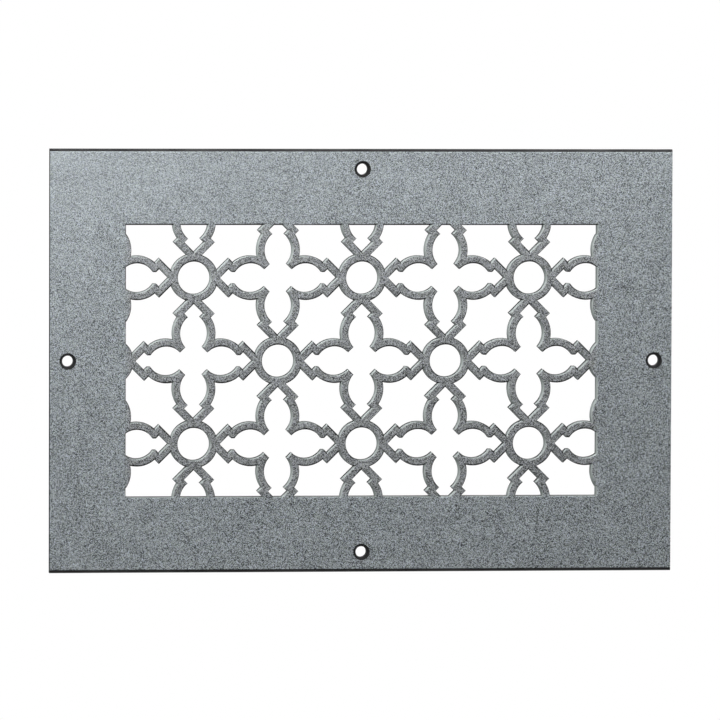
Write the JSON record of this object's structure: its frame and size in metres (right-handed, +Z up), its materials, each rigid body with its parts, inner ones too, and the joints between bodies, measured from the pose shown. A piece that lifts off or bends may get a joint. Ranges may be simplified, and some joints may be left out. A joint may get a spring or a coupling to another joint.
{
  "type": "decorative vent cover",
  "caption": "Flat rectangular vent cover with a plain border and a window cut through as a lattice of rings and four-petal openings, screwed on through its border.",
  "frame": {"origin": "on the back face, on the plate's upright centre line, at the middle of the top border", "axes": "+X across the plate, +Z up, +Y out of the back face into the wall, so the patterned front faces -Y"},
  "size_m": [0.3048, 0.0063, 0.2064],
  "materials": {
    "textured_coat": "pewter grey metallic spray coat with a fine grain on a black plastic sheet, bare and black in the countersinks and on the back"
  },
  "bodies": {
    "root": {"vent_cover_plate": "textured_coat"}
  },
  "joints": []
}
